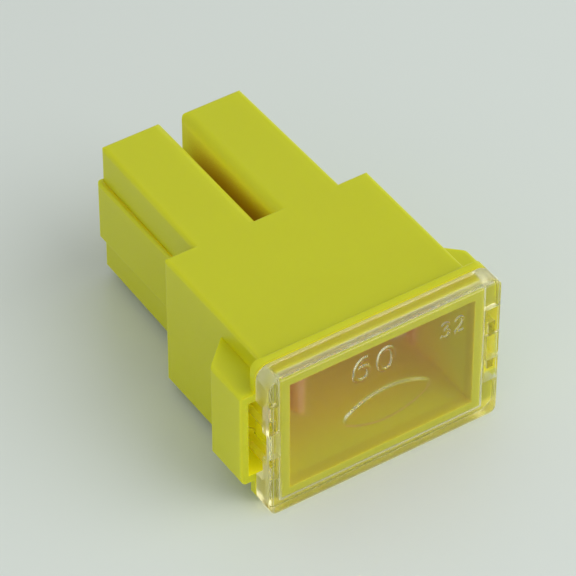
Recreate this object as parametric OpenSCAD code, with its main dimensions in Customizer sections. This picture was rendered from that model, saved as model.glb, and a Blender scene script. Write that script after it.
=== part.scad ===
// Plug-in cartridge fuse for a vehicle's main circuits.
// A moulded housing with two hollow prongs, a clear clip-on cover and one stamped strip inside.
// The fuse lies on its broad side: prongs toward +Y, cover toward -Y, +Z up.

/* [Head] */
// Width of the head
head_w = 16; // [15:0.5:22]
// Length of the head, from the shoulders to the cover's seat
head_l = 12.6; // [11.5:0.2:20]
// Wall thickness of the head
head_wall = 0.8; // [0.6:0.1:1.2]
// Thickness of the wall behind the shoulders
shoulder_wall = 1; // [0.6:0.1:1.5]
// Round of the head's outer edges
head_edge_r = 0.3; // [0.1:0.05:0.5]

/* [Prongs] */
// Length of the prongs
prong_l = 11.9; // [10:0.2:18]
// Width over both prongs at the shoulders
prong_base_w = 11.5; // [11.2:0.1:13]
// Width over both prongs at their tips
prong_tip_w = 11.15; // [11:0.05:11.5]
// Gap between the two prongs
slot_w = 1.45; // [1:0.05:2.4]
// Round of the edges that face the gap
slot_edge_r = 0.8; // [0.2:0.1:1.2]
// Round of the other edges of a prong
prong_edge_r = 0.35; // [0.1:0.05:0.5]
// Wall thickness of a prong
prong_wall = 0.65; // [0.4:0.05:0.9]
// Thickness of the wall at a prong's tip
tip_wall = 0.8; // [0.5:0.1:1.5]
// Room above and below a socket's lips, which with the blade sets the height of the prongs and head
lip_room = 0.4; // [0.1:0.05:1]
// Height of the key rail on a prong's outer side
rail_h = 4.95; // [2:0.05:7]
// How far the key rail stands out at the tip
rail_out = 0.45; // [0.3:0.05:0.8]

/* [Rim] */
// Thickness of the rim that the cover seats on
rim_t = 0.75; // [0.5:0.05:1.5]
// Overhang of the rim at the sides
rim_side = 1.05; // [0.9:0.05:1.4]
// Overhang of the rim above and below the head
rim_top = 0.675; // [0.65:0.025:1]
// Round of the rim's four corners
rim_corner_r = 1; // [0.5:0.1:1.5]
// Hollow fillet between the head and the rim
cove_r = 0.45; // [0.2:0.05:0.45]
// Round of the rim's back edge
rim_edge_r = 0.2; // [0.05:0.05:0.2]
// Length of the collar that reaches into the cover
collar_l = 0.75; // [0.5:0.05:1.5]
// Round of the collar's front edge
collar_edge_r = 0.3; // [0.2:0.05:0.4]

/* [Side lugs] */
// How far a lug stands out from the head
lug_out = 2.1; // [1.8:0.1:3]
// Height of a lug
lug_h = 7.7; // [6:0.1:9]
// Length of a lug along the head, with its ramp
lug_l = 5.65; // [4.8:0.1:8]
// Length of a lug's straight outer face
lug_flat = 3.65; // [3:0.1:4.2]
// Thickness of a lug's outer wall and ramp
strap_t = 0.5; // [0.3:0.05:0.7]
// Thickness of a lug's upper and lower walls
lug_wall = 0.6; // [0.4:0.05:1]
// Round of a lug's outer edges
lug_edge_r = 0.3; // [0.1:0.05:0.4]
// How far the catch in a lug stands out
catch_out = 0.25; // [0.15:0.05:0.35]
// Length of the catch's slope
catch_l = 1; // [0.6:0.1:1.4]

/* [Cover] */
// Thickness of the cover's window
window_t = 0.8; // [0.6:0.05:1.2]
// Round of the cover's front edges
cover_edge_r = 0.3; // [0.1:0.05:0.5]
// Gap between the collar and the cover
cover_gap = 0.05; // [0.03:0.01:0.1]
// Hollow fillet in the corners of the cover's inside
cover_cove_r = 0.25; // [0.1:0.05:0.3]
// Thickness of a snap leg
leg_t = 0.5; // [0.4:0.05:0.6]
// Height of a snap leg
leg_h = 0.95; // [0.6:0.05:1.3]
// Gap between the two legs on a side
leg_gap = 2.2; // [1:0.1:3]
// Thickness of the window in front of that gap
gap_front = 0.35; // [0.3:0.05:0.6]
// Length of the barb behind the catch
barb_l = 0.7; // [0.5:0.05:1]
// Half the width of the oval pad on the window
pad_a = 3.3; // [2:0.1:5]
// Half the height of the oval pad
pad_b = 1.4; // [1:0.1:2.5]
// Round of the oval pad's ends
pad_end_r = 0.6; // [0.4:0.05:0.9]
// How far the oval pad stands out
pad_out = 0.12; // [0.08:0.02:0.3]
// How far the centre of the pad lies below the middle of the window
pad_drop = 0.35; // [-1.5:0.05:1.5]

/* [Fuse strip] */
// Thickness of the stamped strip
strip_t = 0.4; // [0.25:0.05:0.5]
// Inside radius of the strip's bends
bend_r = 0.2; // [0.1:0.05:0.4]
// Width of the blade that a socket takes
blade_w = 6.3; // [4.8:0.1:6.5]
// Thickness of the blade that a socket takes
blade_t = 0.8; // [0.5:0.05:1]
// Outside radius of the rolled lips that grip the blade
roll_r = 0.9; // [0.8:0.05:1]
// Length of the rolled lips
roll_l = 7.8; // [5:0.1:9]
// Distance of the link in front of the shoulders
link_y = 10.6; // [6:0.1:10.8]
// Height of the link strip
link_h = 1.3; // [0.9:0.05:2]
// Height of the narrow part that melts
melt_h = 0.6; // [0.3:0.05:0.8]
// Radius of the link's expansion loop, on its inside
loop_r = 0.7; // [0.4:0.05:1]
// Height of the left neck, which carries the link
left_neck_h = 4.95; // [2.5:0.05:6]
// Height of the right neck
right_neck_h = 3.35; // [2.5:0.05:6]
// Length of the tin pellet along the link
pellet_l = 1.1; // [0.6:0.05:1.5]
// Thickness of tin around the link
pellet_wall = 0.3; // [0.15:0.05:0.4]

/* [Hidden] */
$fn = 64;

// Cutters run past the faces that they open by this much
over = 1;
// Pieces of the housing reach this far into the wall that carries them
root = 0.3;
// Clearances: strip in its prong and at its end, blade in its mouth, leg at its catch, tin round the link
strip_gap = 0.05;
strip_end_gap = 0.2;
mouth_gap = 0.15;
leg_clear = 0.05;
pellet_gap = 0.02;
// Slope of a blade mouth's lead-in, and the room at a blade's edges
lead_in = 0.35;
blade_side_gap = 0.15;

// Height of a socket's plate, of the hollow that its lips fit in, and of the head and prongs around that
plate_h = blade_w + 2 * blade_side_gap;
cavity_h = plate_h + 2 * (roll_r + lip_room);
head_h = cavity_h + 2 * head_wall;

// Local frame: y = 0 at the shoulders, z = 0 at the head's underside
mid_z = head_h / 2;
seat_y = -head_l;
collar_y = seat_y - collar_l;
window_y = collar_y - cover_gap;
front_y = window_y - window_t;
pad_y = front_y - pad_out;
rim_w = head_w + 2 * rim_side;

// Plan of the prongs
draft = atan((prong_base_w - prong_tip_w) / 2 / prong_l);
cavity_in = slot_w / 2 + prong_wall;
cavity_out = prong_tip_w / 2 - prong_wall;
plate_out = cavity_out - strip_gap;
plate_in = plate_out - strip_t;
blade_face = plate_in - blade_t;
blade_x = plate_in - blade_t / 2;
plate_top = mid_z + plate_h / 2;
roll_y = prong_l - tip_wall - strip_end_gap;

// Plan of a lug: the ramp's slope, and its inner face at a distance from the head's middle
lug_x = head_w / 2 + lug_out;
pocket_x = lug_x - strap_t;
pocket_h = lug_h - 2 * lug_wall;
ramp = (lug_l - lug_flat) / lug_out;
function ramp_inside(x) = seat_y + lug_flat + (lug_x - x) * ramp - strap_t * norm([1, ramp]);

// Snap legs: rooted in the window, clear of the catch, with a barb behind it
catch_y = seat_y + root + catch_l;
catch_h = leg_gap + 2 * leg_h;
leg_root = window_y - window_t / 2;
leg_in = head_w / 2 + catch_out + leg_clear;
leg_x = leg_in + leg_t;
barb_y = catch_y + leg_clear;
leg_y = barb_y + barb_l;

// Link: its front face, the middle of its height and the bends' outside radius
link_front = -link_y;
link_z = plate_top - link_h / 2;
bend_out = bend_r + strip_t;
loop_out = loop_r + strip_t;
pellet_x = (loop_out + plate_in) / 2;

// Origin below the middle of the whole fuse, at the underside of the rim
origin = [0, (prong_l + pad_y) / 2, -rim_top];

yellow = [0.80, 0.82, 0.10];
clear = [0.92, 0.94, 0.90, 0.45];
copper = [0.78, 0.50, 0.36];
tin = [0.72, 0.72, 0.70];

function unit(v) = v / norm(v);

// The sliver between a convex corner b and the arc that rounds it
module corner_sliver(a, b, c, r) {
    to_a = unit(a - b);
    to_c = unit(c - b);
    half = acos(to_a * to_c) / 2;
    tangent = r / tan(half);
    centre = b + unit(to_a + to_c) * r / sin(half);
    outward = b - centre;
    at_a = b + to_a * tangent;
    at_c = b + to_c * tangent;
    difference() {
        polygon([centre, at_a, at_a + outward, b + outward, at_c + outward, at_c]);
        translate(centre) circle(r);
    }
}

// A polygon with one radius for each of its corners
module rounded_polygon(points, radii) {
    n = len(points);
    difference() {
        polygon(points);
        for (i = [0 : n - 1])
            if (radii[i] > 0)
                corner_sliver(points[(i + n - 1) % n], points[i], points[(i + 1) % n], radii[i]);
    }
}

module rounded_rect(low, high, radii) {
    rounded_polygon([low, [high[0], low[1]], high, [low[0], high[1]]], radii);
}

module rect(low, high) {
    translate(low) square(high - low);
}

// A drawing of x and z, carried from y0 to y1
module along_y(y0, y1) {
    translate([0, y1, 0]) rotate([90, 0, 0]) linear_extrude(y1 - y0) children();
}

// A drawing of y and z, carried from x0 to x1
module along_x(x0, x1) {
    translate([x0, 0, 0]) rotate([90, 0, 90]) linear_extrude(x1 - x0) children();
}

// A drawing of x and y, carried from z0 to z1
module along_z(z0, z1) {
    translate([0, 0, z0]) linear_extrude(z1 - z0) children();
}

module both_sides() {
    children();
    mirror([1, 0, 0]) children();
}

module placed() {
    translate(-origin) children();
}

// Head with its collar: three rounded drawings that bound one box
module head() {
    r = head_edge_r;
    c = collar_edge_r;
    low = [-head_w / 2, collar_y];
    intersection() {
        along_z(0, head_h) rounded_rect(low, [head_w / 2, 0], [c, c, r, r]);
        along_y(collar_y, 0) rounded_rect([-head_w / 2, 0], [head_w / 2, head_h], [r, r, r, r]);
        along_x(-head_w / 2, head_w / 2) rounded_rect([collar_y, 0], [0, head_h], [c, r, r, c]);
    }
}

// Right prong: its plan tapers on the outer side, and its long edges are rounded along that taper
module prong() {
    r = prong_edge_r;
    inner = slot_w / 2;
    base = prong_base_w / 2;
    outer_root = base + root * tan(draft);
    intersection() {
        along_z(0, head_h) rounded_polygon(
            [[inner, -root], [outer_root, -root], [prong_tip_w / 2, prong_l], [inner, prong_l]],
            [0, 0, r, r]);
        along_y(-root, prong_l) rounded_rect(
            [inner, 0], [base + over, head_h], [slot_edge_r, 0, 0, slot_edge_r]);
        translate([base, 0, 0]) rotate([0, 0, draft]) along_y(-over, prong_l + over)
            rounded_rect([-base - over, 0], [0, head_h], [0, r, r, 0]);
        along_x(0, base + over) rounded_rect([-root, 0], [prong_l, head_h], [0, r, r, 0]);
    }
}

// Key rail on the right prong's outer side
module rail() {
    r = prong_edge_r;
    rail_x = prong_tip_w / 2 + rail_out;
    inner = prong_tip_w / 2 - root;
    intersection() {
        along_z(mid_z - rail_h / 2, mid_z + rail_h / 2)
            rounded_rect([inner, -root], [rail_x, prong_l], [0, 0, r, r]);
        along_y(-root, prong_l) rounded_rect(
            [inner, mid_z - rail_h / 2], [rail_x, mid_z + rail_h / 2], [0, rail_out / 2, rail_out / 2, 0]);
    }
}

// Half section of the rim: a lip and the cove behind it, from the seat backwards
module rim_section(half_core, overhang) {
    lip = half_core + overhang;
    back = seat_y + rim_t;
    rounded_rect([seat_y, 0], [back, lip], [0, 0, rim_edge_r, 0]);
    rect([seat_y, 0], [back + cove_r, half_core]);
    difference() {
        rect([back - root, half_core - root], [back + cove_r, half_core + cove_r]);
        translate([back + cove_r, half_core + cove_r]) circle(cove_r);
    }
}

module rim() {
    back = seat_y + rim_t + cove_r;
    r = rim_corner_r;
    intersection() {
        along_y(seat_y, back) rounded_rect(
            [-rim_w / 2, -rim_top], [rim_w / 2, head_h + rim_top], [r, r, r, r]);
        along_x(-rim_w / 2, rim_w / 2) translate([0, mid_z]) {
            rim_section(mid_z, rim_top);
            mirror([0, 1]) rim_section(mid_z, rim_top);
        }
        along_z(-rim_top, head_h + rim_top) rotate(90) {
            rim_section(head_w / 2, rim_side);
            mirror([0, 1]) rim_section(head_w / 2, rim_side);
        }
    }
}

// Right lug: a strap with a ramp at its back
module lug() {
    r = lug_edge_r;
    inner = head_w / 2 - root;
    low = mid_z - lug_h / 2;
    high = mid_z + lug_h / 2;
    intersection() {
        along_z(low, high) rounded_polygon(
            [[inner, seat_y], [lug_x, seat_y], [lug_x, seat_y + lug_flat],
             [head_w / 2, seat_y + lug_l], [inner, seat_y + lug_l]],
            [0, r, r, 0, 0]);
        along_y(seat_y, seat_y + lug_l) rounded_rect([inner, low], [lug_x, high], [0, r, r, 0]);
    }
}

// Hollow of the right lug, open to the front
module lug_pocket() {
    x0 = head_w / 2;
    along_z(mid_z - pocket_h / 2, mid_z + pocket_h / 2) polygon(
        [[x0, seat_y - over], [pocket_x, seat_y - over],
         [pocket_x, ramp_inside(pocket_x)], [x0, ramp_inside(x0)]]);
}

// Wedge on the head's side that the cover's legs snap behind
module catch() {
    x0 = head_w / 2;
    along_z(mid_z - catch_h / 2, mid_z + catch_h / 2) polygon(
        [[x0 - root, catch_y - catch_l], [x0, catch_y - catch_l],
         [x0 + catch_out, catch_y], [x0 - root, catch_y]]);
}

// Hollow of the right prong, from the head to the tip wall
module prong_cavity() {
    along_y(-shoulder_wall - over, prong_l - tip_wall)
        rect([cavity_in, head_wall], [cavity_out, head_wall + cavity_h]);
}

// Opening in the right prong's tip, wider at its mouth
module blade_mouth() {
    half = blade_t / 2 + mouth_gap;
    half_h = blade_w / 2 + mouth_gap;
    tip = prong_l + over;
    along_z(mid_z - half_h, mid_z + half_h) polygon(
        [[blade_x - half, prong_l - tip_wall - over], [blade_x + half, prong_l - tip_wall - over],
         [blade_x + half, prong_l - lead_in], [blade_x + half + lead_in, prong_l],
         [blade_x + half + lead_in, tip], [blade_x - half - lead_in, tip],
         [blade_x - half - lead_in, prong_l], [blade_x - half, prong_l - lead_in]]);
}

// One moulding: head, collar, rim, prongs, rails and lugs
module housing() {
    inside = head_w / 2 - head_wall;
    color(yellow) placed() {
        difference() {
            union() {
                head();
                rim();
                both_sides() {
                    prong();
                    rail();
                    lug();
                }
            }
            along_y(collar_y - over, -shoulder_wall)
                rect([-inside, head_wall], [inside, head_wall + cavity_h]);
            both_sides() {
                prong_cavity();
                blade_mouth();
                lug_pocket();
            }
        }
        both_sides() catch();
    }
}

// Oval of four arcs about its own centre: two long ones, and a round at each end
module oval(a, b, end_r) {
    end_x = a - end_r;
    long_r = (end_x * end_x + b * b - end_r * end_r) / (2 * (b - end_r));
    join_x = end_x * long_r / (long_r - end_r);
    intersection() {
        translate([0, b - long_r]) circle(long_r);
        translate([0, long_r - b]) circle(long_r);
        rect([-join_x, -b], [join_x, b]);
    }
    translate([end_x, 0]) circle(end_r);
    translate([-end_x, 0]) circle(end_r);
}

// Outside of the cover: as wide as the rim, with rounded front edges
module cover_block() {
    r = cover_edge_r;
    low_z = -rim_top;
    high_z = head_h + rim_top;
    c = rim_corner_r;
    intersection() {
        along_y(front_y, seat_y) rounded_rect(
            [-rim_w / 2, low_z], [rim_w / 2, high_z], [c, c, c, c]);
        along_x(-rim_w / 2, rim_w / 2) rounded_rect([front_y, low_z], [seat_y, high_z], [r, 0, 0, r]);
        along_z(low_z, high_z) rounded_rect(
            [-rim_w / 2, front_y], [rim_w / 2, seat_y], [r, r, 0, 0]);
    }
}

// Room for the collar, open to the back
module cover_inside() {
    r = cover_cove_r;
    x = head_w / 2 + cover_gap;
    low_z = -cover_gap;
    high_z = head_h + cover_gap;
    back = seat_y + over;
    intersection() {
        along_y(window_y, back) rounded_rect([-x, low_z], [x, high_z], [r, r, r, r]);
        along_x(-x, x) rounded_rect([window_y, low_z], [back, high_z], [r, 0, 0, r]);
        along_z(low_z, high_z) rounded_rect([-x, window_y], [x, back], [r, r, 0, 0]);
    }
}

// Right snap legs: they run back beside the head and hook behind the catch
module legs() {
    x0 = head_w / 2 + cover_gap;
    for (z = [mid_z - catch_h / 2, mid_z + leg_gap / 2])
        along_z(z, z + leg_h) polygon(
            [[leg_in, leg_root], [leg_x, leg_root], [leg_x, leg_y],
             [leg_in, leg_y], [x0, barb_y + barb_l / 2], [x0, barb_y], [leg_in, barb_y]]);
}

// Opening in the right side of the skirt, deeper between the legs
module side_opening() {
    inner = head_w / 2 + cover_gap;
    outer = [rim_w / 2 + over, seat_y + over];
    along_z(mid_z - pocket_h / 2, mid_z + pocket_h / 2) rect([inner, window_y], outer);
    along_z(mid_z - leg_gap / 2, mid_z + leg_gap / 2) rect([inner, front_y + gap_front], outer);
}

// Clear cover with its window, skirt, pad and snap legs
module cover() {
    color(clear) placed() {
        difference() {
            union() {
                cover_block();
                along_y(pad_y, window_y) translate([0, mid_z - pad_drop]) oval(pad_a, pad_b, pad_end_r);
            }
            cover_inside();
            both_sides() side_opening();
        }
        both_sides() legs();
    }
}

// Right socket: a plate with two rolled lips that press the blade against it
module socket() {
    along_y(roll_y - roll_l, roll_y) {
        rect([plate_in, mid_z - plate_h / 2], [plate_out, plate_top]);
        for (end = [-1, 1]) {
            z = mid_z + end * plate_h / 2;
            difference() {
                translate([plate_out - roll_r, z]) circle(roll_r);
                translate([plate_out - roll_r, z]) circle(roll_r - strip_t);
                rect([blade_face, min(z, mid_z)], [plate_out, max(z, mid_z)]);
            }
        }
    }
}

// Right plate from the socket to the bend, narrower in the head, and the bend at its front
module neck(neck_h) {
    bend_y = link_front + bend_out;
    low = mid_z - plate_h / 2;
    along_x(plate_in, plate_out) polygon(
        [[roll_y - roll_l + root, low], [roll_y - roll_l + root, plate_top], [bend_y, plate_top],
         [bend_y, plate_top - neck_h], [-shoulder_wall, plate_top - neck_h], [-shoulder_wall, low]]);
    along_z(plate_top - neck_h, plate_top) intersection() {
        translate([plate_in - bend_r, bend_y]) difference() {
            circle(bend_out);
            circle(bend_r);
        }
        rect([plate_in - bend_r, link_front], [plate_out, bend_y]);
    }
}

// Link between the two necks, with a narrow loop that takes up heat movement and melts first
module link() {
    back = link_front + strip_t;
    end_x = plate_in - bend_r;
    loop_y = back + bend_r;
    along_z(link_z - link_h / 2, link_z + link_h / 2) {
        rect([-end_x, link_front], [-loop_r, back]);
        rect([loop_r, link_front], [end_x, back]);
    }
    along_z(link_z - melt_h / 2, link_z + melt_h / 2) {
        rect([-loop_out, link_front], [-loop_r, loop_y]);
        rect([loop_r, link_front], [loop_out, loop_y]);
        intersection() {
            translate([0, loop_y]) difference() {
                circle(loop_out);
                circle(loop_r);
            }
            rect([-loop_out, loop_y], [loop_out, loop_y + loop_out]);
        }
    }
}

// One stamping: two sockets, their necks and the link
module fuse_strip() {
    color(copper) placed() {
        both_sides() socket();
        neck(right_neck_h);
        mirror([1, 0, 0]) neck(left_neck_h);
        link();
    }
}

// Tin pressed round the link beside its loop
module tin_pellet() {
    half_h = link_h / 2 + pellet_gap;
    low_y = link_front - pellet_gap;
    high_y = link_front + strip_t + pellet_gap;
    wall = pellet_wall;
    color(tin) placed() along_x(pellet_x - pellet_l / 2, pellet_x + pellet_l / 2) difference() {
        rounded_rect([low_y - wall, link_z - half_h - wall], [high_y + wall, link_z + half_h + wall],
            [wall, wall, wall, wall]);
        rect([low_y, link_z - half_h], [high_y, link_z + half_h]);
    }
}

housing();
cover();
fuse_strip();
tin_pellet();
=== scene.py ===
"""Looks of a plug-in cartridge fuse: yellow moulded housing, clear cover, copper strip and a plain stage."""
import math

import bmesh
import bpy
from mathutils import Matrix, Vector


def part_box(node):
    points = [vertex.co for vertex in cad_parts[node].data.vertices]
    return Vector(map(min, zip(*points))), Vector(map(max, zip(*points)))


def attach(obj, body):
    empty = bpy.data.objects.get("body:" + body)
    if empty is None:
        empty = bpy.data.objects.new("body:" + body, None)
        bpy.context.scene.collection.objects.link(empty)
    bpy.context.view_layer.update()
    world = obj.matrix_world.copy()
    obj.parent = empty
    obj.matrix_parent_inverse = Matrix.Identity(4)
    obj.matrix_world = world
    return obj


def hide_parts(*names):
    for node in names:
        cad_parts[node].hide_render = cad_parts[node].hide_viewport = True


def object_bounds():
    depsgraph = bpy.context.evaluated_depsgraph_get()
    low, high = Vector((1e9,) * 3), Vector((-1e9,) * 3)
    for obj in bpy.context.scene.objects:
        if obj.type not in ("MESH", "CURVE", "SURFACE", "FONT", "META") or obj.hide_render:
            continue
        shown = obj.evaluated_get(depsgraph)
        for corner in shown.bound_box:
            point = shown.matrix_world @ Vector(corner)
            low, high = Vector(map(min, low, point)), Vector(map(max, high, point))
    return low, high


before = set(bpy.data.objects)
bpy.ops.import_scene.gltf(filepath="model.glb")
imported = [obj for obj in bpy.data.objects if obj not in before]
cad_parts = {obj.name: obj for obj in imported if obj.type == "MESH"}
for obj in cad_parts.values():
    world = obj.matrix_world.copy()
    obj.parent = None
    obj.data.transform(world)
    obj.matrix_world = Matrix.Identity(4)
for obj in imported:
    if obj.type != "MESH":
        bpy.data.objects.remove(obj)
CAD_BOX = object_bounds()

bl_info = {
    "name": "Cartridge Fuse Looks",
    "version": (1, 0, 0),
    "blender": (4, 5, 0),
    "location": "3D View > Sidebar > Fuse",
    "description": "Dresses the cartridge fuse and sets its stage",
    "category": "Object",
}

BODY = "root"
MM = 0.001

# Vertices closer than this are one, and faces flatter than this to each other are one
WELD = 1e-6
FLAT_ANGLE = math.radians(0.5)
# Edges sharper than this get a fine round, and stay creases where they have none
SHARP_ANGLE = math.radians(38)
# Smooth middle lines of the digits' strokes in a box 1 wide and 1 high: whether a line is closed, and its knots
STROKES = {
    "0": [(True, ((0.5, 1), (0, 0.5), (0.5, 0), (1, 0.5)))],
    "2": [(False, ((0.02, 0.76), (0.5, 1), (0.96, 0.72), (0.04, 0.04))), (False, ((0, 0), (1, 0)))],
    "3": [(False, ((0.06, 0.86), (0.5, 1), (0.92, 0.77), (0.42, 0.54))),
          (False, ((0.46, 0.54), (1, 0.28), (0.48, 0), (0, 0.15)))],
    "6": [(True, ((0.5, 0.62), (0, 0.31), (0.5, 0), (1, 0.31))),
          (False, ((0.02, 0.36), (0.14, 0.74), (0.52, 0.98), (0.9, 0.96)))],
}
# Plain numbers on the cover
LARGE_NUMBER, SMALL_NUMBER = "60", "32"
# Gap between two digits, as a share of a digit's width
DIGIT_GAP = 0.22
# How far the strokes' middle lines lie behind the face, as a share of their rise
STROKE_SINK = 0.2
# Steps between two knots of a stroke, and of a quarter of its round
STROKE_STEPS, STROKE_ROUND = 6, 3
# Steps across the slope round the pad, and across the rounds of the cover's back and other edges
PAD_CUTS, BACK_STEPS, EDGE_STEPS = 8, 3, 2
# How strongly large faces keep their own normals
FLAT_WEIGHT = 100

# Up to the first share of its normal along Y a face is a side, and from the second it looks along Y
SIDE_SHARE, FRONT_SHARE = 0.5, 0.95
# Rays that feel how open a spot is
SKY_RAYS = 12
# Octaves of the noise of waves, of grain and haze, and of tarnish
WAVE_DETAIL, GRAIN_DETAIL, BLOT_DETAIL = 1.0, 3.0, 4.0
# Tarnish: its blots' size over the metal's grain, their raggedness, and the noise at which they start
# and are full
BLOT_SCALE, BLOT_RAGGED = 4, 0.6
BLOT_START, BLOT_FULL = 0.35, 0.75
# Height of a metal's grain, as a share of its size
GRAIN_SHARE = 0.05
# The camera sees nothing nearer than this
CAMERA_NEAR = 0.01


class Signal:
    """An output socket that Python's operators extend with Math nodes."""

    def __init__(self, sheet, socket):
        self.sheet = sheet
        self.socket = socket

    def __add__(self, other):
        return self.sheet.math("ADD", self, other)

    def __radd__(self, other):
        return self.sheet.math("ADD", other, self)

    def __sub__(self, other):
        return self.sheet.math("SUBTRACT", self, other)

    def __rsub__(self, other):
        return self.sheet.math("SUBTRACT", other, self)

    def __mul__(self, other):
        return self.sheet.math("MULTIPLY", self, other)

    def __rmul__(self, other):
        return self.sheet.math("MULTIPLY", other, self)

    def __abs__(self):
        return self.sheet.math("ABSOLUTE", self)


class Sheet:
    """One material's or world's node tree, built by expressions."""

    def __init__(self, owner):
        owner.use_nodes = True
        self.tree = owner.node_tree
        self.tree.nodes.clear()

    def feed(self, socket, value):
        if isinstance(value, Signal):
            self.tree.links.new(value.socket, socket)
        else:
            socket.default_value = value

    def node(self, kind, settings=None, inputs=None, output=0):
        """Adds a node: its settings first, then its sockets by name or number. Gives the asked output."""
        made = self.tree.nodes.new("ShaderNode" + kind)
        for name, value in (settings or {}).items():
            setattr(made, name, value)
        for name, value in (inputs or {}).items():
            self.feed(made.inputs[name], value)
        return Signal(self, made.outputs[output]) if len(made.outputs) else made

    def math(self, operation, *values):
        return self.node("Math", {"operation": operation}, dict(enumerate(values)))

    def mix(self, factor, first, second):
        """Colour that goes from first to second as factor goes from 0 to 1."""
        settings = {"data_type": "RGBA", "clamp_factor": True}
        return self.node("Mix", settings, {0: factor, 6: first, 7: second}, 2)

    def span(self, value, low, high):
        """0 below low and 1 above high, with a smooth step between them."""
        settings = {"interpolation_type": "SMOOTHSTEP"}
        return self.node("MapRange", settings, {"Value": value, "From Min": low, "From Max": high})

    def place(self):
        return self.node("TexCoord", output="Object")

    def part(self, vector, axis):
        """A vector's part along one axis."""
        return self.node("SeparateXYZ", None, {"Vector": vector}, axis)

    def facing(self):
        """1 on faces that look along Y, 0 on the sides, with a smooth step between them."""
        normal = self.node("NewGeometry", output="Normal")
        return self.span(abs(self.part(normal, "Y")), SIDE_SHARE, FRONT_SHARE)

    def noise(self, place, grain, detail=2.0, roughness=0.5):
        """Soft noise around 0.5 with bumps about grain metres apart."""
        inputs = {"Vector": place, "Scale": 1 / grain, "Detail": detail, "Roughness": roughness}
        return self.node("TexNoise", None, inputs, "Fac")

    def bump(self, height, distance):
        return self.node("Bump", None, {"Height": height, "Distance": distance, "Strength": 1.0})

    def surface(self, shader, inside=None):
        self.node("OutputMaterial", None, {"Surface": shader, **({"Volume": inside} if inside else {})})


def new_sheet(name):
    material = bpy.data.materials.new(name)
    return material, Sheet(material)


def colour(value):
    """A property's colour as a socket takes it."""
    return (*value, 1.0)


def yellow_plastic(look):
    """Satin moulded plastic that light enters a little, with amber light and shade painted into its corners,
    slot and lugs, and painted shade and light on the front under the cover.
    """
    material, sheet = new_sheet("yellow_plastic")
    place = sheet.place()
    settings = {"samples": SKY_RAYS, "only_local": True}
    # How open each spot is to the sky decides where light and shade are painted into the colour
    open_sky = sheet.node("AmbientOcclusion", settings, {"Distance": look.depth}, "AO")
    across, along = abs(sheet.part(place, "X")), sheet.part(place, "Y")
    between = 1 - sheet.span(across, look.slot_reach, look.slot_reach + look.blend)
    in_slot = sheet.span(along, look.slot_start, look.slot_start + look.slot_blend) * between
    # 0 in deep corners, which are painted with amber light and shade, and 1 on open faces
    shade = sheet.span(open_sky, look.open_start, look.open_end - in_slot * (look.open_end - look.slot_open))
    cloud = sheet.noise(place, look.cloud_size)
    tint = sheet.mix(cloud * look.cloud_share, colour(look.colour), colour(look.cloud_colour))
    # Painted light: a lighter yellow painted low on the front, under the collar
    above = sheet.span(sheet.part(place, "Z"), look.sill_start, look.sill_end)
    front = sheet.mix(above, colour(look.painted_sill_light), colour(look.painted_front_shade))
    # Painted shade: the front under the cover and its thin walls are painted darker yellows
    front = sheet.mix(sheet.facing(), colour(look.painted_wall_shade), front)
    behind = sheet.span(along, look.front_end, look.front_end + look.blend)
    tint = sheet.mix(behind, front, tint)
    # Painted light: a bright yellow glow painted into the corners just inside the front
    inside = sheet.span(along, look.front_end, look.front_end + look.glow_depth)
    deep = sheet.mix(inside, colour(look.painted_glow), colour(look.painted_corner_amber))
    # Painted light and shade in the slot: dark amber deep down, a lighter yellow at its upper edges
    lighter = sheet.span(open_sky, look.slot_dark, look.slot_light)
    slot = sheet.mix(lighter, colour(look.painted_slot_amber), colour(look.painted_lip_light))
    deep = sheet.mix(in_slot, deep, slot)
    # Painted light: the lugs' corners are painted the bright yellow of light through their thin walls
    in_lug = sheet.span(across, look.lug_start, look.lug_start + look.blend)
    deep = sheet.mix(in_lug, deep, colour(look.painted_lug_light))
    # Painted light and shade: corners with little open sky take the painted colours above in place of the
    # faces' yellow
    base = sheet.mix(shade, deep, tint)
    grain = sheet.noise(place, look.grain_size, GRAIN_DETAIL)
    principled = sheet.node("BsdfPrincipled", None, {
        "Base Color": base,
        "Roughness": look.roughness + (1 - shade) * look.deep_dullness + (grain - 0.5) * look.roughness_spread,
        "IOR": look.ior,
        "Subsurface Weight": look.scatter,
        "Subsurface Radius": look.scatter_reach,
        "Subsurface Scale": look.scatter_scale,
        "Normal": sheet.bump(grain, look.grain_height),
    })
    sheet.surface(principled)
    return material


def clear_plastic(look):
    """Clear moulded plastic with a faint tint, slightly wavy faces and duller sides."""
    material, sheet = new_sheet("clear_plastic")
    place = sheet.place()
    side = 1 - sheet.facing()
    wave = sheet.noise(place, look.wave_size, WAVE_DETAIL)
    haze = sheet.noise(place, look.haze_size, GRAIN_DETAIL)
    principled = sheet.node("BsdfPrincipled", None, {
        "Base Color": colour(look.tint),
        "Roughness": look.roughness + haze * look.haze + side * look.side_dullness,
        "IOR": look.ior,
        "Specular Tint": colour(look.reflection),
        "Transmission Weight": 1.0,
        "Normal": sheet.bump(wave, look.wave_height),
    })
    shadow = sheet.node("LightPath", output="Is Shadow Ray")
    bounced = sheet.node("LightPath", output="Is Diffuse Ray")
    trapped = sheet.span(sheet.node("LightPath", output="Ray Depth"), look.free_bounces, look.all_bounces)
    lit_through = sheet.node("BsdfTransparent", None, {"Color": colour(look.tint)})
    straight = sheet.math("MAXIMUM", sheet.math("MAXIMUM", shadow, bounced), trapped)
    inside = {"Color": colour(look.depth_colour), "Density": look.depth_density}
    sheet.surface(
        sheet.node("MixShader", None, {0: straight, 1: principled, 2: lit_through}),
        sheet.node("VolumeAbsorption", None, inside))
    return material


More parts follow.
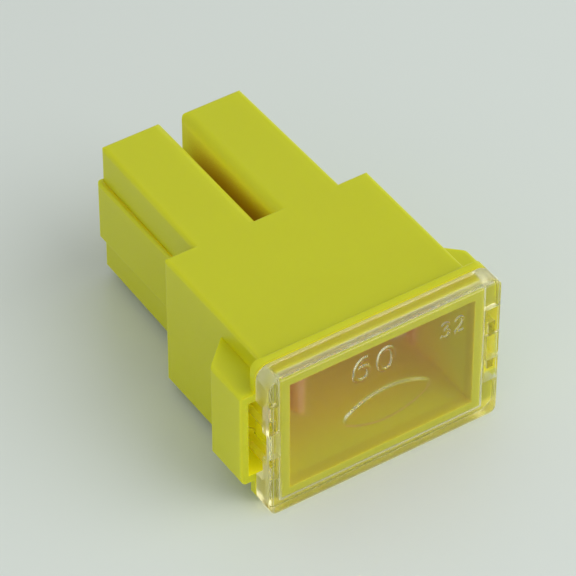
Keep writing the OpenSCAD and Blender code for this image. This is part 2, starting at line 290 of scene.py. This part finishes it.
def bare_metal(name, metal, tarnish, roughness, grain_size, look):
    """Rolled metal, its colour and gloss mottled by tarnish."""
    material, sheet = new_sheet(name)
    place = sheet.place()
    cloud = sheet.noise(place, grain_size * BLOT_SCALE, BLOT_DETAIL, BLOT_RAGGED)
    blot = sheet.span(cloud, BLOT_START, BLOT_FULL)
    grain = sheet.noise(place, grain_size, GRAIN_DETAIL)
    principled = sheet.node("BsdfPrincipled", None, {
        "Base Color": sheet.mix(blot, colour(metal), colour(tarnish)),
        "Metallic": 1.0,
        "Roughness": roughness + blot * look.tarnish_dullness + (grain - 0.5) * look.roughness_spread,
        "Normal": sheet.bump(grain, grain_size * GRAIN_SHARE),
    })
    sheet.surface(principled)
    return material


def dress(node, material):
    """Gives a CAD node's object its finished material."""
    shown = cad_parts[node]
    shown.data.materials.clear()
    shown.data.materials.append(material)


def in_scene(name, data):
    shown = bpy.data.objects.new(name, data)
    bpy.context.scene.collection.objects.link(shown)
    return shown


def new_piece(name, mesh, material, node):
    """Shows a finished mesh, at rest on the only body, in place of a CAD node."""
    piece = in_scene(name, mesh)
    mesh.materials.clear()
    mesh.materials.append(material)
    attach(piece, BODY)
    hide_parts(node)
    return piece


def finished_mesh(shown):
    """The mesh of an object with its modifiers, or of a curve. The object itself goes."""
    graph = bpy.context.evaluated_depsgraph_get()
    made = bpy.data.meshes.new_from_object(shown.evaluated_get(graph))
    bpy.data.objects.remove(shown)
    return made


def welded_copy(node):
    """A CAD node's mesh as one closed skin of flat faces."""
    skin = bmesh.new()
    skin.from_mesh(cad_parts[node].data)
    bmesh.ops.remove_doubles(skin, verts=skin.verts, dist=WELD)
    bmesh.ops.dissolve_limit(skin, angle_limit=FLAT_ANGLE, verts=skin.verts, edges=skin.edges)
    return skin


def skin_volume(mesh):
    skin = bmesh.new()
    skin.from_mesh(mesh)
    volume = skin.calc_volume()
    skin.free()
    return volume


def sharp_edges(skin):
    return [e for e in skin.edges if e.is_manifold and e.calc_face_angle() > SHARP_ANGLE]


def round_edges(skin, edges, radius, segments):
    bmesh.ops.bevel(
        skin, geom=edges, offset=radius, offset_type="OFFSET", affect="EDGES",
        segments=segments, profile=0.5, material=-1, clamp_overlap=True)


def end_mesh(skin, name):
    """Ends a bmesh as a mesh that is smooth except at its sharp edges."""
    for face in skin.faces:
        face.smooth = True
    creases = set(sharp_edges(skin))
    for edge in skin.edges:
        edge.smooth = edge not in creases
    made = bpy.data.meshes.new(name)
    skin.to_mesh(made)
    skin.free()
    return made


def weigh_normals(piece):
    """Keeps large faces flat beside the small rounds of their edges."""
    weighted = piece.modifiers.new("flat_faces", "WEIGHTED_NORMAL")
    weighted.mode = "FACE_AREA"
    weighted.weight = FLAT_WEIGHT
    weighted.keep_sharp = True


def on_plane(skin, y):
    return [v for v in skin.verts if abs(v.co.y - y) < WELD]


def outer_back_edges(skin, back):
    """Edges that run round the outside of a back face."""
    centre = sum(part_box("cover"), Vector()) / 2
    found = []
    for edge in sharp_edges(skin):
        if all(abs(v.co.y - back) < WELD for v in edge.verts):
            away = edge.verts[0].co - centre
            away.y = 0
            if any(f.normal.dot(away) > WELD for f in edge.link_faces):
                found.append(edge)
    return found


def soften_pad(skin, pad_front, front, slope):
    """Turns the upright wall round the oval pad into a soft slope, half of it outside the wall."""
    rim = on_plane(skin, pad_front)
    walls = {e for v in rim for e in v.link_edges if abs(e.other_vert(v).co.y - front) < WELD}
    foot = {v for e in walls for v in e.verts}.difference(rim)
    for axis in (0, 2):
        middle = sum(v.co[axis] for v in rim) / len(rim)
        half = max(abs(v.co[axis] - middle) for v in rim)
        for loop, step in ((rim, -slope / 2), (foot, slope / 2)):
            for vert in loop:
                vert.co[axis] = middle + (vert.co[axis] - middle) * (1 + step / half)
    bmesh.ops.subdivide_edges(skin, edges=list(walls), cuts=PAD_CUTS, use_grid_fill=True)
    for vert in skin.verts:
        share = (front - vert.co.y) / (front - pad_front)
        if 0 < share < 1:
            vert.co.y = front - (front - pad_front) * share * share * (3 - 2 * share)


def round_stroke(points, closed, half_width, half_depth):
    """An oval cord along a smooth line in a plane of one Y, as a closed body."""
    line = bpy.data.curves.new("stroke", "CURVE")
    line.dimensions = "3D"
    line.resolution_u = STROKE_STEPS
    line.bevel_depth = half_width
    line.bevel_resolution = STROKE_ROUND
    line.use_fill_caps = True
    spline = line.splines.new("BEZIER")
    spline.bezier_points.add(len(points) - 1)
    spline.use_cyclic_u = closed
    for knot, point in zip(spline.bezier_points, points):
        knot.co = point
        knot.handle_left_type = knot.handle_right_type = "AUTO"
    skin = bmesh.new()
    skin.from_mesh(finished_mesh(in_scene("stroke", line)))
    bmesh.ops.remove_doubles(skin, verts=skin.verts, dist=WELD)
    bmesh.ops.scale(
        skin, verts=skin.verts, vec=(1, half_depth / half_width, 1), space=Matrix.Translation(-points[0]))
    bmesh.ops.recalc_face_normals(skin, faces=skin.faces)
    return in_scene("stroke", end_mesh(skin, "stroke"))


def raised_number(number, corner, size, half_stroke, rise):
    """Bodies of a number's strokes, half sunk in a face that looks to -Y. The corner is its lower left one."""
    sink = rise * STROKE_SINK
    width = size[0] / (len(number) + (len(number) - 1) * DIGIT_GAP)
    made = []
    for place, digit in enumerate(number):
        left = corner + Vector((place * width * (1 + DIGIT_GAP) + half_stroke, sink, half_stroke))
        reach = (width - 2 * half_stroke, size[1] - 2 * half_stroke)
        for closed, knots in STROKES[digit]:
            points = [left + Vector((x * reach[0], 0, z * reach[1])) for x, z in knots]
            made.append(round_stroke(points, closed, half_stroke, rise + sink))
    return made


def unite(shown, others):
    """The mesh of an object together with other closed bodies, worked out in millimetres. The objects go."""
    shown.data.transform(Matrix.Scale(1 / MM, 4))
    for other in others:
        other.data.transform(Matrix.Scale(1 / MM, 4))
        union = shown.modifiers.new("union", "BOOLEAN")
        union.operation = "UNION"
        union.solver = "EXACT"
        union.object = other
    made = finished_mesh(shown)
    for other in others:
        bpy.data.objects.remove(other)
    made.transform(Matrix.Scale(MM, 4))
    return made


class HousingLook(bpy.types.PropertyGroup):
    """Finish of the yellow moulding, with the light and shade painted into its corners, slot, lugs and front.
    """
    colour: bpy.props.FloatVectorProperty(
        name="Colour", description="Yellow of the open faces", subtype="COLOR",
        default=(0.58, 0.62, 0.012), min=0, max=1)
    cloud_colour: bpy.props.FloatVectorProperty(
        name="Cloud colour", description="Yellow where the moulding is a little richer", subtype="COLOR",
        default=(0.56, 0.57, 0.01), min=0, max=1)
    # Painted light and shade: amber painted into deep corners, where the plastic carries light and shade falls
    painted_corner_amber: bpy.props.FloatVectorProperty(
        name="Deep colour", description="Amber that light takes on in deep corners", subtype="COLOR",
        default=(0.98, 0.69, 0.005), min=0, max=1)
    # Painted light: a bright yellow painted in the lugs' corners for light through their thin walls
    painted_lug_light: bpy.props.FloatVectorProperty(
        name="Lug colour", description="Yellow that light takes on inside the thin lugs", subtype="COLOR",
        default=(0.97, 0.91, 0.008), min=0, max=1)
    lug_start: bpy.props.FloatProperty(
        name="Lug start", description="Where the lugs start, from the fuse's middle",
        default=7.7 * MM, unit="LENGTH")
    # Painted shade: darker yellows painted on the front under the cover and on its thin walls
    painted_front_shade: bpy.props.FloatVectorProperty(
        name="Front colour", description="Yellow of the thin front that the cover closes over",
        subtype="COLOR", default=(0.43, 0.45, 0.008), min=0, max=1)
    painted_wall_shade: bpy.props.FloatVectorProperty(
        name="Wall colour", description="Yellow of that front's thin walls", subtype="COLOR",
        default=(0.52, 0.5, 0.006), min=0, max=1)
    # Painted light: a lighter yellow painted on the front's lower edge, between these heights
    painted_sill_light: bpy.props.FloatVectorProperty(
        name="Sill colour", description="Yellow of the front's lower edge, which the floor lights",
        subtype="COLOR", default=(0.7, 0.67, 0.1), min=0, max=1)
    sill_start: bpy.props.FloatProperty(
        name="Sill start", description="Height up to which that yellow is full",
        default=0.6 * MM, unit="LENGTH")
    sill_end: bpy.props.FloatProperty(
        name="Sill end", description="Height at which it ends", default=1.0 * MM, unit="LENGTH")
    # Where the painted front shade ends and the painted glow inside begins
    front_end: bpy.props.FloatProperty(
        name="Front end", description="How far back that front goes", default=-11.35 * MM, unit="LENGTH")
    # Painted light: a bright yellow glow painted just inside that front
    painted_glow: bpy.props.FloatVectorProperty(
        name="Glow colour", description="Yellow that light takes on just inside that front", subtype="COLOR",
        default=(0.98, 0.86, 0.006), min=0, max=1)
    glow_depth: bpy.props.FloatProperty(
        name="Glow depth", description="How far inside that yellow goes", default=4.5 * MM, unit="LENGTH")
    # Painted shade and light in the slot: dark amber deep between the prongs and a lighter yellow at its upper
    # edges
    painted_slot_amber: bpy.props.FloatVectorProperty(
        name="Slot colour", description="Amber that light takes on deep between the prongs", subtype="COLOR",
        default=(0.6, 0.34, 0.003), min=0, max=1)
    painted_lip_light: bpy.props.FloatVectorProperty(
        name="Lip colour", description="Yellow that light takes on at the slot's upper edges",
        subtype="COLOR", default=(0.98, 0.95, 0.05), min=0, max=1)
    slot_start: bpy.props.FloatProperty(
        name="Slot start", description="Where that amber starts to come in", default=-2 * MM, unit="LENGTH")
    slot_blend: bpy.props.FloatProperty(
        name="Slot blend", description="Length over which it comes in", default=2.5 * MM, unit="LENGTH")
    slot_reach: bpy.props.FloatProperty(
        name="Slot reach", description="How far to each side of the middle it goes",
        default=2 * MM, unit="LENGTH")
    # Shares of open sky between which the slot's painted amber gives way to its painted lighter yellow
    slot_dark: bpy.props.FloatProperty(
        name="Slot dark", description="Share of open sky up to which the slot's amber is full",
        default=0.05, min=0, max=1)
    slot_light: bpy.props.FloatProperty(
        name="Slot light", description="Share of open sky at which it has given way to yellow",
        default=0.32, min=0, max=1)
    slot_open: bpy.props.FloatProperty(
        name="Slot open", description="Share of open sky at which the slot's edges have the plain yellow",
        default=0.95, min=0, max=1)
    # Shares of open sky at which the painted corner colours give way to the faces' yellow
    open_start: bpy.props.FloatProperty(
        name="Open start", description="Share of open sky up to which the deep colours are full",
        default=0.08, min=0, max=1)
    open_end: bpy.props.FloatProperty(
        name="Open end", description="Share of open sky at which the faces have their plain yellow",
        default=0.72, min=0, max=1)
    blend: bpy.props.FloatProperty(
        name="Blend", description="Width over which the front's and lugs' yellows come in", default=0.2 * MM,
        unit="LENGTH")
    cloud_share: bpy.props.FloatProperty(
        name="Cloud share", description="How much of the richer yellow shows", default=0.6, min=0, max=1)
    cloud_size: bpy.props.FloatProperty(
        name="Cloud size", description="Distance between the clouds", default=5 * MM, unit="LENGTH")
    depth: bpy.props.FloatProperty(
        name="Corner reach", description="How far around a corner is felt", default=12 * MM, unit="LENGTH")
    roughness: bpy.props.FloatProperty(
        name="Roughness", description="Mean roughness of the satin face", default=0.42, min=0, max=1)
    deep_dullness: bpy.props.FloatProperty(
        name="Deep dullness", description="How much rougher deep corners are", default=0.45, min=0, max=1)
    roughness_spread: bpy.props.FloatProperty(
        name="Roughness spread", description="How much the roughness varies", default=0.15, min=0, max=1)
    ior: bpy.props.FloatProperty(
        name="IOR", description="Refractive index of the plastic", default=1.42, min=1, max=2)
    scatter: bpy.props.FloatProperty(
        name="Scatter", description="Share of the light that enters the plastic", default=1.0, min=0, max=1)
    scatter_reach: bpy.props.FloatVectorProperty(
        name="Scatter reach", description="Relative reach of red, green and blue",
        default=(1.0, 0.92, 0.08), min=0)
    scatter_scale: bpy.props.FloatProperty(
        name="Scatter depth", description="How deep the light goes", default=1.0 * MM, unit="LENGTH")
    grain_size: bpy.props.FloatProperty(
        name="Grain size", description="Distance between the grains of the mould's finish",
        default=0.12 * MM, unit="LENGTH")
    grain_height: bpy.props.FloatProperty(
        name="Grain height", description="Height of the grains", default=0.004 * MM, unit="LENGTH")


class CoverLook(bpy.types.PropertyGroup):
    """Finish and fine shape of the clear cover."""
    tint: bpy.props.FloatVectorProperty(
        name="Tint", description="What the plastic lets through", subtype="COLOR",
        default=(0.99, 0.985, 0.97), min=0, max=1)
    depth_colour: bpy.props.FloatVectorProperty(
        name="Depth colour", description="Colour that thick plastic takes on", subtype="COLOR",
        default=(0.82, 0.74, 0.1), min=0, max=1)
    depth_density: bpy.props.FloatProperty(
        name="Depth density", description="How fast that colour comes in, for each metre", default=190, min=0)
    ior: bpy.props.FloatProperty(
        name="IOR", description="Refractive index of the plastic", default=1.5, min=1, max=2)
    reflection: bpy.props.FloatVectorProperty(
        name="Reflection", description="Share of the usual reflection of the faces", subtype="COLOR",
        default=(0.15, 0.15, 0.15), min=0, max=1)
    free_bounces: bpy.props.FloatProperty(
        name="Free bounces", description="How often all light turns in the plastic", default=1, min=0)
    all_bounces: bpy.props.FloatProperty(
        name="All bounces", description="How often it turns at most before it passes straight out",
        default=3.4, min=0)
    roughness: bpy.props.FloatProperty(
        name="Roughness", description="Roughness of the clear faces", default=0.14, min=0, max=1)
    side_dullness: bpy.props.FloatProperty(
        name="Side dullness", description="How much rougher the sides are", default=0.15, min=0, max=1)
    haze: bpy.props.FloatProperty(
        name="Haze", description="Roughness that handling adds in places", default=0.04, min=0, max=1)
    haze_size: bpy.props.FloatProperty(
        name="Haze size", description="Distance between the hazy places", default=1.2 * MM, unit="LENGTH")
    wave_size: bpy.props.FloatProperty(
        name="Wave size", description="Distance between the faces' waves", default=3 * MM, unit="LENGTH")
    wave_height: bpy.props.FloatProperty(
        name="Wave height", description="Height of the faces' waves", default=0.006 * MM, unit="LENGTH")
    edge_radius: bpy.props.FloatProperty(
        name="Edge round", description="Fine round of the moulding's edges", default=0.05 * MM, unit="LENGTH")
    back_radius: bpy.props.FloatProperty(
        name="Back round", description="Round of the edge beside the rim", default=0.06 * MM, unit="LENGTH")
    seat_gap: bpy.props.FloatProperty(
        name="Seat gap", description="Air between the cover and the rim", default=0.01 * MM, unit="LENGTH")
    pad_slope: bpy.props.FloatProperty(
        name="Pad slope", description="Width of the slope round the oval pad",
        default=0.44 * MM, unit="LENGTH")
    rise: bpy.props.FloatProperty(
        name="Number rise", description="How far the numbers stand out", default=0.11 * MM, unit="LENGTH")
    large_stroke: bpy.props.FloatProperty(
        name="Large stroke", description="Half the width of the large number's strokes", default=0.21 * MM,
        unit="LENGTH")
    small_stroke: bpy.props.FloatProperty(
        name="Small stroke", description="Half the width of the small number's strokes", default=0.13 * MM,
        unit="LENGTH")
    large_place: bpy.props.FloatVectorProperty(
        name="Large number's place", description="Its lower left corner, across and up",
        default=(-2.75 * MM, 8.53 * MM), size=2, unit="LENGTH")
    large_size: bpy.props.FloatVectorProperty(
        name="Large number's size", description="Its width and height",
        default=(3.4 * MM, 2.25 * MM), size=2, unit="LENGTH")
    small_place: bpy.props.FloatVectorProperty(
        name="Small number's place", description="Its lower left corner, across and up",
        default=(4.05 * MM, 9.02 * MM), size=2, unit="LENGTH")
    small_size: bpy.props.FloatVectorProperty(
        name="Small number's size", description="Its width and height",
        default=(2.0 * MM, 1.5 * MM), size=2, unit="LENGTH")


class StripLook(bpy.types.PropertyGroup):
    """Finish of the metal inside."""
    copper: bpy.props.FloatVectorProperty(
        name="Copper", description="Clean copper alloy", subtype="COLOR",
        default=(0.95, 0.55, 0.34), min=0, max=1)
    copper_tarnish: bpy.props.FloatVectorProperty(
        name="Copper tarnish", description="Dull copper alloy", subtype="COLOR",
        default=(0.75, 0.38, 0.22), min=0, max=1)
    tin: bpy.props.FloatVectorProperty(
        name="Tin", description="Clean tin", subtype="COLOR", default=(0.66, 0.66, 0.64), min=0, max=1)
    tin_tarnish: bpy.props.FloatVectorProperty(
        name="Tin tarnish", description="Dull tin", subtype="COLOR", default=(0.45, 0.45, 0.44), min=0, max=1)
    copper_roughness: bpy.props.FloatProperty(
        name="Copper roughness", description="Roughness of clean copper alloy", default=0.3, min=0, max=1)
    tin_roughness: bpy.props.FloatProperty(
        name="Tin roughness", description="Roughness of clean tin", default=0.4, min=0, max=1)
    copper_grain: bpy.props.FloatProperty(
        name="Copper grain", description="Distance between the rolled strip's grains", default=0.15 * MM,
        unit="LENGTH")
    tin_grain: bpy.props.FloatProperty(
        name="Tin grain", description="Distance between the pellet's grains", default=0.1 * MM, unit="LENGTH")
    tarnish_dullness: bpy.props.FloatProperty(
        name="Tarnish dullness", description="How much rougher tarnish is", default=0.15, min=0, max=1)
    roughness_spread: bpy.props.FloatProperty(
        name="Roughness spread", description="How much the roughness varies", default=0.1, min=0, max=1)


class StageLook(bpy.types.PropertyGroup):
    """Floor, light and camera."""
    floor_colour: bpy.props.FloatVectorProperty(
        name="Floor", description="Colour of the pale floor", subtype="COLOR",
        default=(0.71, 0.775, 0.735), min=0, max=1)
    floor_roughness: bpy.props.FloatProperty(
        name="Floor roughness", description="Roughness of the floor", default=0.35, min=0, max=1)
    floor_reach: bpy.props.FloatProperty(
        name="Floor reach", description="How far the floor goes to each side", default=1.5, unit="LENGTH")
    floor_gap: bpy.props.FloatProperty(
        name="Floor gap", description="Air under the fuse", default=0.02 * MM, unit="LENGTH")
    sky: bpy.props.FloatProperty(
        name="Sky", description="Light from all around", default=0.55, min=0, max=2)
    key: bpy.props.FloatProperty(
        name="Key lamp", description="Power of the soft lamp in front", default=0.73, min=0, subtype="POWER")
    key_place: bpy.props.FloatVectorProperty(
        name="Key place", description="Where the lamp in front is, from what the camera looks at",
        default=(0.18, -0.2, 0.26), subtype="TRANSLATION", unit="LENGTH")
    fill: bpy.props.FloatProperty(
        name="Fill lamp", description="Power of the low lamp at the left",
        default=0.25, min=0, subtype="POWER")
    fill_colour: bpy.props.FloatVectorProperty(
        name="Fill colour", description="Colour of the lamp at the left", subtype="COLOR",
        default=(1.0, 0.87, 0.74), min=0, max=1)
    fill_place: bpy.props.FloatVectorProperty(
        name="Fill place", description="Where the lamp at the left is, from what the camera looks at",
        default=(-0.32, -0.12, 0.06), subtype="TRANSLATION", unit="LENGTH")
    lamp_size: bpy.props.FloatProperty(
        name="Lamp size", description="Width of the key and fill lamps", default=0.4, min=0.01, unit="LENGTH")
    glint: bpy.props.FloatProperty(
        name="Glint lamp", description="Power of the low strip lamp in front",
        default=0.7, min=0, subtype="POWER")
    glint_place: bpy.props.FloatVectorProperty(
        name="Glint place", description="Where the strip lamp is, from what the camera looks at",
        default=(0.03, -0.45, 0.05), subtype="TRANSLATION", unit="LENGTH")
    glint_size: bpy.props.FloatVectorProperty(
        name="Glint size", description="Width and height of the strip lamp", default=(0.5, 0.08), size=2,
        unit="LENGTH")
    lens: bpy.props.FloatProperty(
        name="Lens", description="Focal length in millimetres", default=250, min=1)
    azimuth: bpy.props.FloatProperty(
        name="Azimuth", description="Turn of the camera about the fuse",
        default=math.radians(-33.318), subtype="ANGLE")
    elevation: bpy.props.FloatProperty(
        name="Elevation", description="Angle of the camera above the floor", default=math.radians(42.565),
        subtype="ANGLE")
    distance: bpy.props.FloatProperty(
        name="Distance", description="From the camera to what it looks at",
        default=267.261 * MM, unit="LENGTH")
    target: bpy.props.FloatVectorProperty(
        name="Target", description="Point that the camera looks at",
        default=(0.688 * MM, -0.348 * MM, 5.675 * MM), subtype="TRANSLATION", unit="LENGTH")


class FUSE_OT_dress_housing(bpy.types.Operator):
    """Give the housing its satin yellow plastic"""
    bl_idname = "fuse.dress_housing"
    bl_label = "Dress Housing"

    def execute(self, context):
        dress("housing", yellow_plastic(context.scene.fuse_housing))
        return {"FINISHED"}


class FUSE_OT_mould_cover(bpy.types.Operator):
    """Make the clear cover with its fine rounds and raised numbers"""
    bl_idname = "fuse.mould_cover"
    bl_label = "Mould Cover"

    def execute(self, context):
        look = context.scene.fuse_cover
        low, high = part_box("cover")
        skin = welded_copy("cover")
        front = min(v.co.y for v in skin.verts if v.co.y > low.y + WELD)
        seat = max(v.co.y for v in skin.verts if v.co.z > high.z - WELD)
        for vert in on_plane(skin, seat):
            vert.co.y -= look.seat_gap
        soften_pad(skin, low.y, front, look.pad_slope)
        round_edges(skin, outer_back_edges(skin, seat - look.seat_gap), look.back_radius, BACK_STEPS)
        round_edges(skin, sharp_edges(skin), look.edge_radius, EDGE_STEPS)
        plain = in_scene("plain_cover", end_mesh(skin, "plain_cover"))
        strokes = []
        for number, place, size, half_stroke in (
                (LARGE_NUMBER, look.large_place, look.large_size, look.large_stroke),
                (SMALL_NUMBER, look.small_place, look.small_size, look.small_stroke)):
            corner = Vector((place[0], front, place[1]))
            strokes += raised_number(number, corner, size, half_stroke, look.rise)
        least = skin_volume(plain.data)
        skin = bmesh.new()
        skin.from_mesh(unite(plain, strokes))
        if skin.calc_volume() < least:
            raise RuntimeError("The numbers did not join the cover")
        made = end_mesh(skin, "clear_cover")
        piece = new_piece("clear_cover", made, clear_plastic(look), "cover")
        weigh_normals(piece)
        return {"FINISHED"}


class FUSE_OT_dress_strip(bpy.types.Operator):
    """Give the fuse strip and its pellet their metals"""
    bl_idname = "fuse.dress_strip"
    bl_label = "Dress Strip"

    def execute(self, context):
        look = context.scene.fuse_strip
        dress("fuse_strip", bare_metal(
            "copper", look.copper, look.copper_tarnish, look.copper_roughness, look.copper_grain, look))
        dress("tin_pellet", bare_metal(
            "tin", look.tin, look.tin_tarnish, look.tin_roughness, look.tin_grain, look))
        return {"FINISHED"}


def floor_paint(look):
    material, sheet = new_sheet("pale_floor")
    sheet.surface(sheet.node("BsdfPrincipled", None, {
        "Base Color": colour(look.floor_colour),
        "Roughness": look.floor_roughness,
    }))
    return material


def add_lamp(name, place, aim, size, power, tint=(1, 1, 1)):
    """Adds a lamp of a width and a height, round where they are the same."""
    lamp = bpy.data.lights.new(name, "AREA")
    lamp.color = tint
    lamp.shape = "DISK" if size[0] == size[1] else "RECTANGLE"
    lamp.size, lamp.size_y = size
    lamp.energy = power
    shown = in_scene(name, lamp)
    shown.location = place
    shown.rotation_euler = (aim - place).to_track_quat("-Z", "Y").to_euler()


class FUSE_OT_set_stage(bpy.types.Operator):
    """Add the floor, the soft light and the camera"""
    bl_idname = "fuse.set_stage"
    bl_label = "Set Stage"

    def execute(self, context):
        look = context.scene.fuse_stage
        scene = context.scene
        scene.view_settings.view_transform = "Standard"
        ground = bmesh.new()
        bmesh.ops.create_grid(ground, x_segments=1, y_segments=1, size=look.floor_reach)
        bmesh.ops.translate(ground, verts=ground.verts, vec=(0, 0, CAD_BOX[0].z - look.floor_gap))
        mesh = bpy.data.meshes.new("floor")
        ground.to_mesh(mesh)
        ground.free()
        mesh.materials.append(floor_paint(look))
        in_scene("floor", mesh)

        world = bpy.data.worlds.new("studio")
        sheet = Sheet(world)
        sheet.node("OutputWorld", None, {
            "Surface": sheet.node("Background", None, {"Color": (1, 1, 1, 1), "Strength": look.sky})})
        scene.world = world
        target = Vector(look.target)
        round_lamp = (look.lamp_size, look.lamp_size)
        add_lamp("key_lamp", target + Vector(look.key_place), target, round_lamp, look.key)
        add_lamp("fill_lamp", target + Vector(look.fill_place), target, round_lamp, look.fill, look.fill_colour)
        add_lamp("glint_lamp", target + Vector(look.glint_place), target, look.glint_size, look.glint)

        back = Vector((
            math.sin(look.azimuth) * math.cos(look.elevation),
            -math.cos(look.azimuth) * math.cos(look.elevation),
            math.sin(look.elevation)))
        camera = bpy.data.cameras.new("camera")
        camera.lens = look.lens
        camera.clip_start = CAMERA_NEAR
        shown = in_scene("camera", camera)
        shown.location = target + back * look.distance
        shown.rotation_euler = (-back).to_track_quat("-Z", "Y").to_euler()
        scene.camera = shown
        return {"FINISHED"}


class FUSE_PT_looks(bpy.types.Panel):
    """Steps that dress the fuse"""
    bl_label = "Cartridge Fuse"
    bl_idname = "FUSE_PT_looks"
    bl_space_type = "VIEW_3D"
    bl_region_type = "UI"
    bl_category = "Fuse"

    def draw(self, context):
        for step in STEPS:
            self.layout.operator(step.bl_idname)


STEPS = (FUSE_OT_dress_housing, FUSE_OT_mould_cover, FUSE_OT_dress_strip, FUSE_OT_set_stage)
LOOKS = {
    "fuse_housing": HousingLook,
    "fuse_cover": CoverLook,
    "fuse_strip": StripLook,
    "fuse_stage": StageLook,
}


def register():
    for look in LOOKS.values():
        bpy.utils.register_class(look)
    for name, look in LOOKS.items():
        setattr(bpy.types.Scene, name, bpy.props.PointerProperty(type=look))
    for step in STEPS:
        bpy.utils.register_class(step)
    bpy.utils.register_class(FUSE_PT_looks)


def unregister():
    bpy.utils.unregister_class(FUSE_PT_looks)
    for step in reversed(STEPS):
        bpy.utils.unregister_class(step)
    for name in LOOKS:
        delattr(bpy.types.Scene, name)
    for look in reversed(LOOKS.values()):
        bpy.utils.unregister_class(look)


def main():
    register()
    bpy.ops.fuse.dress_housing()
    bpy.ops.fuse.mould_cover()
    bpy.ops.fuse.dress_strip()
    bpy.ops.fuse.set_stage()


if __name__ == "__main__":
    main()
